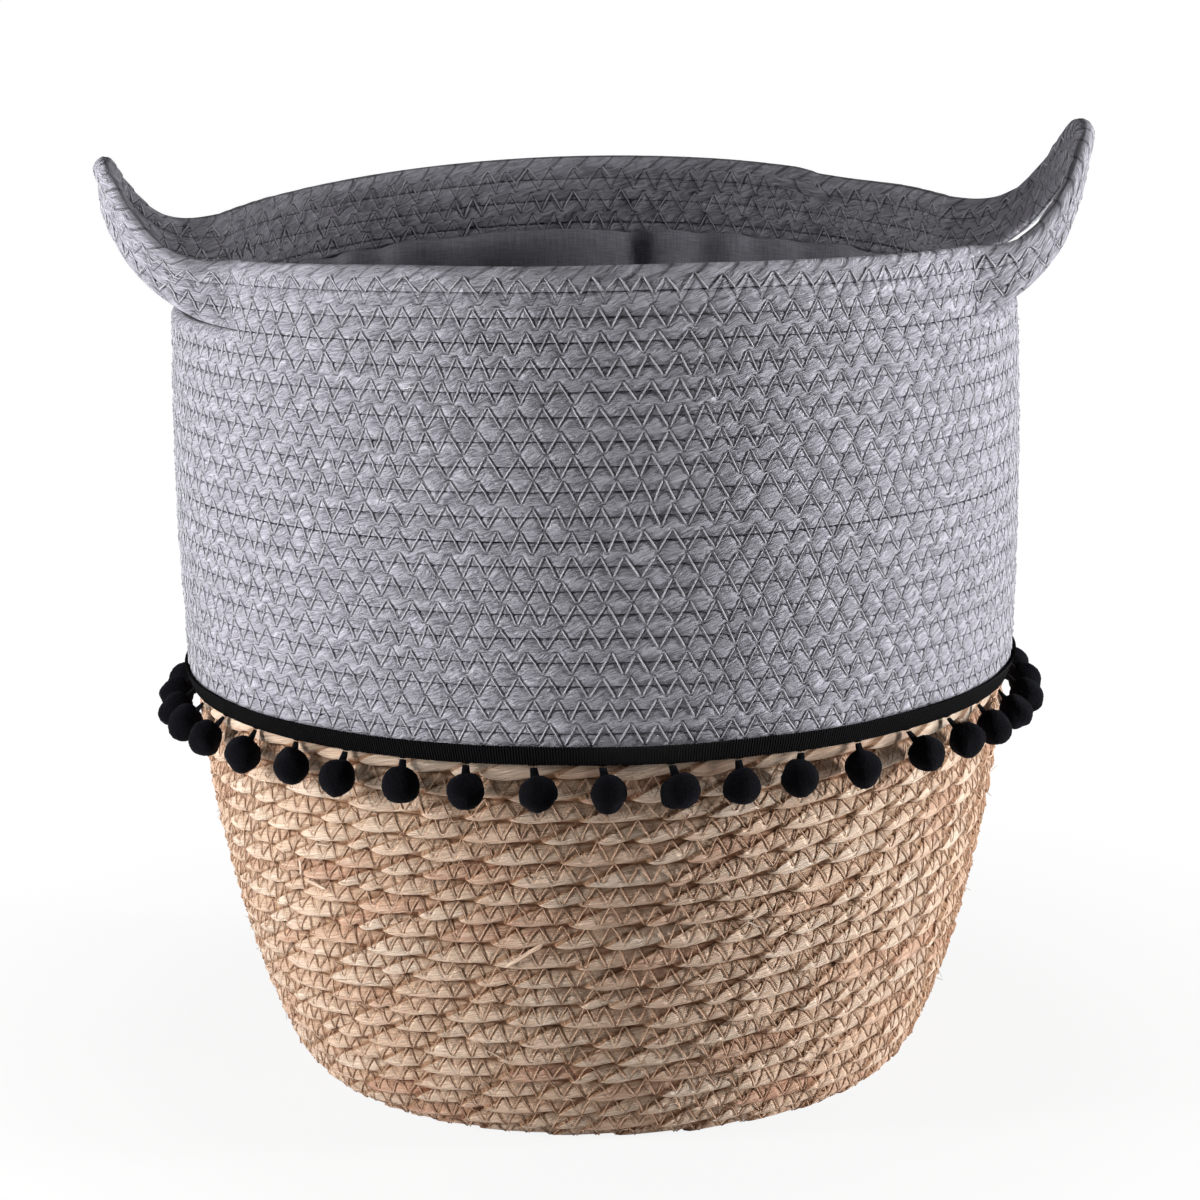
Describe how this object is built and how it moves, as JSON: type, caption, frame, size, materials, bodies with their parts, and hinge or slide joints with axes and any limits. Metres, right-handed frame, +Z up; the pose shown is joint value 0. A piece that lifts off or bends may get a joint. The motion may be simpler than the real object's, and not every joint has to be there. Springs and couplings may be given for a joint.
{
  "type": "round basket",
  "caption": "Round coiled-rope basket: straw-coloured lower part, grey upper part with raised loop handles, black pom-pom trim and a cloth lining.",
  "frame": {"origin": "middle of the base, on the ground that the basket stands on", "axes": "+Z up, +X through the right handle as seen from the front, -Y towards the viewer"},
  "size_m": [0.4267, 0.3882, 0.4126],
  "materials": {
    "natural_rope": "matt, twisted straw rope",
    "grey_rope": "matt, twisted paper rope",
    "black_tape": "ribbed tape with a low sheen",
    "black_pile": "dense velvety yarn",
    "grey_cloth": "matt, plain linen weave"
  },
  "bodies": {
    "basket": {"base_disc": "natural_rope", "lower_heel": "natural_rope", "lower_wall": "natural_rope", "lower_shoulder": "natural_rope", "upper_belly": "grey_rope", "upper_collar": "grey_rope", "rim_back": "grey_rope", "rim_front": "grey_rope", "handle_right": "grey_rope", "handle_left": "grey_rope", "trim_ribbon": "black_tape", "liner_side": "grey_cloth", "liner_base": "grey_cloth"},
    "pom_01": {"pom_01": "black_pile"},
    "pom_02": {"pom_02": "black_pile"},
    "pom_03": {"pom_03": "black_pile"},
    "pom_04": {"pom_04": "black_pile"},
    "pom_05": {"pom_05": "black_pile"},
    "pom_06": {"pom_06": "black_pile"},
    "pom_07": {"pom_07": "black_pile"},
    "pom_08": {"pom_08": "black_pile"},
    "pom_09": {"pom_09": "black_pile"},
    "pom_10": {"pom_10": "black_pile"},
    "pom_11": {"pom_11": "black_pile"},
    "pom_12": {"pom_12": "black_pile"},
    "pom_13": {"pom_13": "black_pile"},
    "pom_14": {"pom_14": "black_pile"},
    "pom_15": {"pom_15": "black_pile"},
    "pom_16": {"pom_16": "black_pile"},
    "pom_17": {"pom_17": "black_pile"},
    "pom_18": {"pom_18": "black_pile"},
    "pom_19": {"pom_19": "black_pile"},
    "pom_20": {"pom_20": "black_pile"},
    "pom_21": {"pom_21": "black_pile"},
    "pom_22": {"pom_22": "black_pile"},
    "pom_23": {"pom_23": "black_pile"},
    "pom_24": {"pom_24": "black_pile"},
    "pom_25": {"pom_25": "black_pile"},
    "pom_26": {"pom_26": "black_pile"},
    "pom_27": {"pom_27": "black_pile"},
    "pom_28": {"pom_28": "black_pile"},
    "pom_29": {"pom_29": "black_pile"},
    "pom_30": {"pom_30": "black_pile"},
    "pom_31": {"pom_31": "black_pile"},
    "pom_32": {"pom_32": "black_pile"},
    "pom_33": {"pom_33": "black_pile"},
    "pom_34": {"pom_34": "black_pile"},
    "pom_35": {"pom_35": "black_pile"},
    "pom_36": {"pom_36": "black_pile"},
    "pom_37": {"pom_37": "black_pile"},
    "pom_38": {"pom_38": "black_pile"},
    "pom_39": {"pom_39": "black_pile"},
    "pom_40": {"pom_40": "black_pile"}
  },
  "joints": [
    {"name": "pom_01_swing", "type": "hinge", "parent": "basket", "child": "pom_01", "pos_m": [0, -0.1783, 0.17472], "axis": [-1, 0, 0], "range_deg": [-10, 71]},
    {"name": "pom_02_swing", "type": "hinge", "parent": "basket", "child": "pom_02", "pos_m": [0.02789, -0.1761, 0.17472], "axis": [-0.9877, -0.1564, 0], "range_deg": [-10, 71]},
    {"name": "pom_03_swing", "type": "hinge", "parent": "basket", "child": "pom_03", "pos_m": [0.0551, -0.16957, 0.17472], "axis": [-0.9511, -0.309, 0], "range_deg": [-10, 71]},
    {"name": "pom_04_swing", "type": "hinge", "parent": "basket", "child": "pom_04", "pos_m": [0.08095, -0.15887, 0.17472], "axis": [-0.891, -0.454, 0], "range_deg": [-10, 71]},
    {"name": "pom_05_swing", "type": "hinge", "parent": "basket", "child": "pom_05", "pos_m": [0.1048, -0.14425, 0.17472], "axis": [-0.809, -0.5878, 0], "range_deg": [-10, 71]},
    {"name": "pom_06_swing", "type": "hinge", "parent": "basket", "child": "pom_06", "pos_m": [0.12608, -0.12608, 0.17472], "axis": [-0.7071, -0.7071, 0], "range_deg": [-10, 71]},
    {"name": "pom_07_swing", "type": "hinge", "parent": "basket", "child": "pom_07", "pos_m": [0.14425, -0.1048, 0.17472], "axis": [-0.5878, -0.809, 0], "range_deg": [-10, 71]},
    {"name": "pom_08_swing", "type": "hinge", "parent": "basket", "child": "pom_08", "pos_m": [0.15887, -0.08095, 0.17472], "axis": [-0.454, -0.891, 0], "range_deg": [-10, 71]},
    {"name": "pom_09_swing", "type": "hinge", "parent": "basket", "child": "pom_09", "pos_m": [0.16957, -0.0551, 0.17472], "axis": [-0.309, -0.9511, 0], "range_deg": [-10, 71]},
    {"name": "pom_10_swing", "type": "hinge", "parent": "basket", "child": "pom_10", "pos_m": [0.1761, -0.02789, 0.17472], "axis": [-0.1564, -0.9877, 0], "range_deg": [-10, 71]},
    {"name": "pom_11_swing", "type": "hinge", "parent": "basket", "child": "pom_11", "pos_m": [0.1783, 0, 0.17472], "axis": [0, -1, 0], "range_deg": [-10, 71]},
    {"name": "pom_12_swing", "type": "hinge", "parent": "basket", "child": "pom_12", "pos_m": [0.1761, 0.02789, 0.17472], "axis": [0.1564, -0.9877, 0], "range_deg": [-10, 71]},
    {"name": "pom_13_swing", "type": "hinge", "parent": "basket", "child": "pom_13", "pos_m": [0.16957, 0.0551, 0.17472], "axis": [0.309, -0.9511, 0], "range_deg": [-10, 71]},
    {"name": "pom_14_swing", "type": "hinge", "parent": "basket", "child": "pom_14", "pos_m": [0.15887, 0.08095, 0.17472], "axis": [0.454, -0.891, 0], "range_deg": [-10, 71]},
    {"name": "pom_15_swing", "type": "hinge", "parent": "basket", "child": "pom_15", "pos_m": [0.14425, 0.1048, 0.17472], "axis": [0.5878, -0.809, 0], "range_deg": [-10, 71]},
    {"name": "pom_16_swing", "type": "hinge", "parent": "basket", "child": "pom_16", "pos_m": [0.12608, 0.12608, 0.17472], "axis": [0.7071, -0.7071, 0], "range_deg": [-10, 71]},
    {"name": "pom_17_swing", "type": "hinge", "parent": "basket", "child": "pom_17", "pos_m": [0.1048, 0.14425, 0.17472], "axis": [0.809, -0.5878, 0], "range_deg": [-10, 71]},
    {"name": "pom_18_swing", "type": "hinge", "parent": "basket", "child": "pom_18", "pos_m": [0.08095, 0.15887, 0.17472], "axis": [0.891, -0.454, 0], "range_deg": [-10, 71]},
    {"name": "pom_19_swing", "type": "hinge", "parent": "basket", "child": "pom_19", "pos_m": [0.0551, 0.16957, 0.17472], "axis": [0.9511, -0.309, 0], "range_deg": [-10, 71]},
    {"name": "pom_20_swing", "type": "hinge", "parent": "basket", "child": "pom_20", "pos_m": [0.02789, 0.1761, 0.17472], "axis": [0.9877, -0.1564, 0], "range_deg": [-10, 71]},
    {"name": "pom_21_swing", "type": "hinge", "parent": "basket", "child": "pom_21", "pos_m": [0, 0.1783, 0.17472], "axis": [1, 0, 0], "range_deg": [-10, 71]},
    {"name": "pom_22_swing", "type": "hinge", "parent": "basket", "child": "pom_22", "pos_m": [-0.02789, 0.1761, 0.17472], "axis": [0.9877, 0.1564, 0], "range_deg": [-10, 71]},
    {"name": "pom_23_swing", "type": "hinge", "parent": "basket", "child": "pom_23", "pos_m": [-0.0551, 0.16957, 0.17472], "axis": [0.9511, 0.309, 0], "range_deg": [-10, 71]},
    {"name": "pom_24_swing", "type": "hinge", "parent": "basket", "child": "pom_24", "pos_m": [-0.08095, 0.15887, 0.17472], "axis": [0.891, 0.454, 0], "range_deg": [-10, 71]},
    {"name": "pom_25_swing", "type": "hinge", "parent": "basket", "child": "pom_25", "pos_m": [-0.1048, 0.14425, 0.17472], "axis": [0.809, 0.5878, 0], "range_deg": [-10, 71]},
    {"name": "pom_26_swing", "type": "hinge", "parent": "basket", "child": "pom_26", "pos_m": [-0.12608, 0.12608, 0.17472], "axis": [0.7071, 0.7071, 0], "range_deg": [-10, 71]},
    {"name": "pom_27_swing", "type": "hinge", "parent": "basket", "child": "pom_27", "pos_m": [-0.14425, 0.1048, 0.17472], "axis": [0.5878, 0.809, 0], "range_deg": [-10, 71]},
    {"name": "pom_28_swing", "type": "hinge", "parent": "basket", "child": "pom_28", "pos_m": [-0.15887, 0.08095, 0.17472], "axis": [0.454, 0.891, 0], "range_deg": [-10, 71]},
    {"name": "pom_29_swing", "type": "hinge", "parent": "basket", "child": "pom_29", "pos_m": [-0.16957, 0.0551, 0.17472], "axis": [0.309, 0.9511, 0], "range_deg": [-10, 71]},
    {"name": "pom_30_swing", "type": "hinge", "parent": "basket", "child": "pom_30", "pos_m": [-0.1761, 0.02789, 0.17472], "axis": [0.1564, 0.9877, 0], "range_deg": [-10, 71]},
    {"name": "pom_31_swing", "type": "hinge", "parent": "basket", "child": "pom_31", "pos_m": [-0.1783, 0, 0.17472], "axis": [0, 1, 0], "range_deg": [-10, 71]},
    {"name": "pom_32_swing", "type": "hinge", "parent": "basket", "child": "pom_32", "pos_m": [-0.1761, -0.02789, 0.17472], "axis": [-0.1564, 0.9877, 0], "range_deg": [-10, 71]},
    {"name": "pom_33_swing", "type": "hinge", "parent": "basket", "child": "pom_33", "pos_m": [-0.16957, -0.0551, 0.17472], "axis": [-0.309, 0.9511, 0], "range_deg": [-10, 71]},
    {"name": "pom_34_swing", "type": "hinge", "parent": "basket", "child": "pom_34", "pos_m": [-0.15887, -0.08095, 0.17472], "axis": [-0.454, 0.891, 0], "range_deg": [-10, 71]},
    {"name": "pom_35_swing", "type": "hinge", "parent": "basket", "child": "pom_35", "pos_m": [-0.14425, -0.1048, 0.17472], "axis": [-0.5878, 0.809, 0], "range_deg": [-10, 71]},
    {"name": "pom_36_swing", "type": "hinge", "parent": "basket", "child": "pom_36", "pos_m": [-0.12608, -0.12608, 0.17472], "axis": [-0.7071, 0.7071, 0], "range_deg": [-10, 71]},
    {"name": "pom_37_swing", "type": "hinge", "parent": "basket", "child": "pom_37", "pos_m": [-0.1048, -0.14425, 0.17472], "axis": [-0.809, 0.5878, 0], "range_deg": [-10, 71]},
    {"name": "pom_38_swing", "type": "hinge", "parent": "basket", "child": "pom_38", "pos_m": [-0.08095, -0.15887, 0.17472], "axis": [-0.891, 0.454, 0], "range_deg": [-10, 71]},
    {"name": "pom_39_swing", "type": "hinge", "parent": "basket", "child": "pom_39", "pos_m": [-0.0551, -0.16957, 0.17472], "axis": [-0.9511, 0.309, 0], "range_deg": [-10, 71]},
    {"name": "pom_40_swing", "type": "hinge", "parent": "basket", "child": "pom_40", "pos_m": [-0.02789, -0.1761, 0.17472], "axis": [-0.9877, 0.1564, 0], "range_deg": [-10, 71]}
  ]
}
